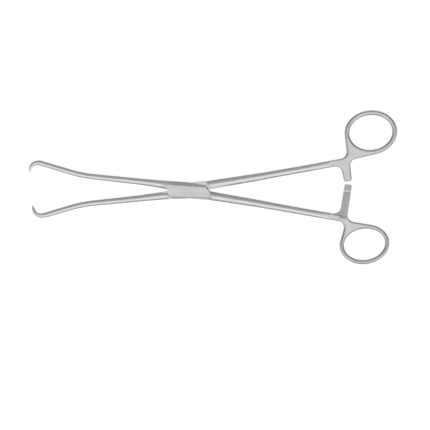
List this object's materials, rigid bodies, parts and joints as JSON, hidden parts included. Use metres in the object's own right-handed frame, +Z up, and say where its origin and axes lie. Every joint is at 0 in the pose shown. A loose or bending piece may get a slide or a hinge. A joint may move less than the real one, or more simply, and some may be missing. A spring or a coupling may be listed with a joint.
{
  "type": "tenaculum forceps",
  "caption": "Slender steel tenaculum forceps with a box lock, one sharp inward hook on each jaw, oval finger rings and a toothed ratchet between the shanks.",
  "frame": {"origin": "on the lock pin's axis, at the flat underside of the lock", "axes": "+X along the forceps towards the finger rings, jaws towards -X, +Y towards the through arm's ring, +Z up along the lock pin"},
  "size_m": [0.2487, 0.1039, 0.006],
  "materials": {
    "satin_steel": "satin, fine blasted and brushed stainless steel",
    "pin_steel": "ground flush with the lock and satin finished"
  },
  "bodies": {
    "box_side": {"box_arm": "satin_steel", "lock_pin": "pin_steel"},
    "through_side": {"through_arm": "satin_steel"}
  },
  "joints": [
    {"name": "lock_hinge", "type": "hinge", "parent": "box_side", "child": "through_side", "pos_m": [0, 0, 0.003], "axis": [0, 0, 1], "range_deg": [-12.1, 38]}
  ]
}
